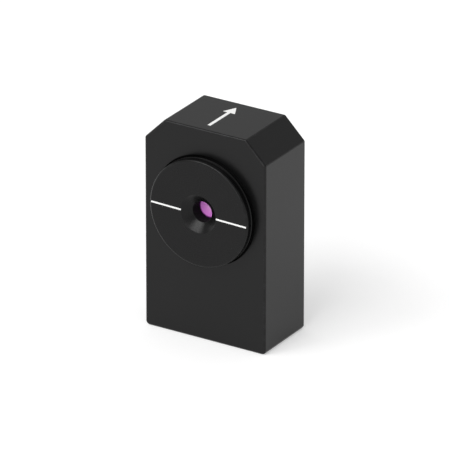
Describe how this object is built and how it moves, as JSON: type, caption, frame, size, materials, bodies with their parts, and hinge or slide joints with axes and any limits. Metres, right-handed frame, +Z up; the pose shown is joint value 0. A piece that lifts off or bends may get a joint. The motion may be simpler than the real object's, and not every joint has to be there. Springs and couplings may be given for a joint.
{
  "type": "optical isolator",
  "caption": "Compact free-space optical isolator: a black anodised block that holds a Faraday rotator between turning, lockable polarizer cells.",
  "frame": {"origin": "centre of the base, on the surface that it stands on", "axes": "+Z up along the block, +Y the way the light goes, from the input cell to the output cell, +X to the right of someone who looks along the light"},
  "size_m": [0.0254, 0.0182, 0.0412],
  "materials": {
    "body_anodise": "fine-grained matt black anodised",
    "cell_anodise": "turned and black anodised, satin",
    "ring_anodise": "turned and black anodised",
    "thrust_ring_plastic": "black acetal, turned",
    "washer_plastic": "white plastic",
    "coated_glass": "polished, violet antireflection coating",
    "crystal": "polished garnet crystal",
    "blackened_steel": "blackened",
    "tip_brass": "turned",
    "sleeve_brass": "turned",
    "magnet_nickel": "nickel plated"
  },
  "bodies": {
    "housing": {"housing": "body_anodise", "input_thrust_ring": "thrust_ring_plastic", "output_thrust_ring": "thrust_ring_plastic", "ring_magnet": "magnet_nickel", "magnet_retaining_ring": "ring_anodise", "rotator_sleeve": "sleeve_brass", "faraday_crystal": "crystal", "crystal_washer": "washer_plastic", "crystal_retaining_ring": "sleeve_brass"},
    "input_cell_turning": {"input_cell": "cell_anodise", "input_polarizer": "coated_glass", "input_polarizer_washer": "washer_plastic", "input_polarizer_ring": "ring_anodise"},
    "input_lock": {"input_lock_screw": "blackened_steel", "input_lock_tip": "tip_brass"},
    "output_cell_turning": {"output_cell": "cell_anodise", "output_polarizer": "coated_glass", "output_polarizer_washer": "washer_plastic", "output_polarizer_ring": "ring_anodise"},
    "output_lock": {"output_lock_screw": "blackened_steel", "output_lock_tip": "tip_brass"}
  },
  "joints": [
    {"name": "input_cell_turn", "type": "hinge", "parent": "housing", "child": "input_cell_turning", "pos_m": [0, 0, 0.0256], "axis": [0, 1, 0], "continuous": true},
    {"name": "input_lock_travel", "type": "slide", "parent": "housing", "child": "input_lock", "axis": [-1, 0, 0], "range_m": [0, 0.00045]},
    {"name": "output_cell_turn", "type": "hinge", "parent": "housing", "child": "output_cell_turning", "pos_m": [0, 0, 0.0256], "axis": [0, 1, 0], "continuous": true},
    {"name": "output_lock_travel", "type": "slide", "parent": "housing", "child": "output_lock", "axis": [-1, 0, 0], "range_m": [0, 0.00045]}
  ]
}
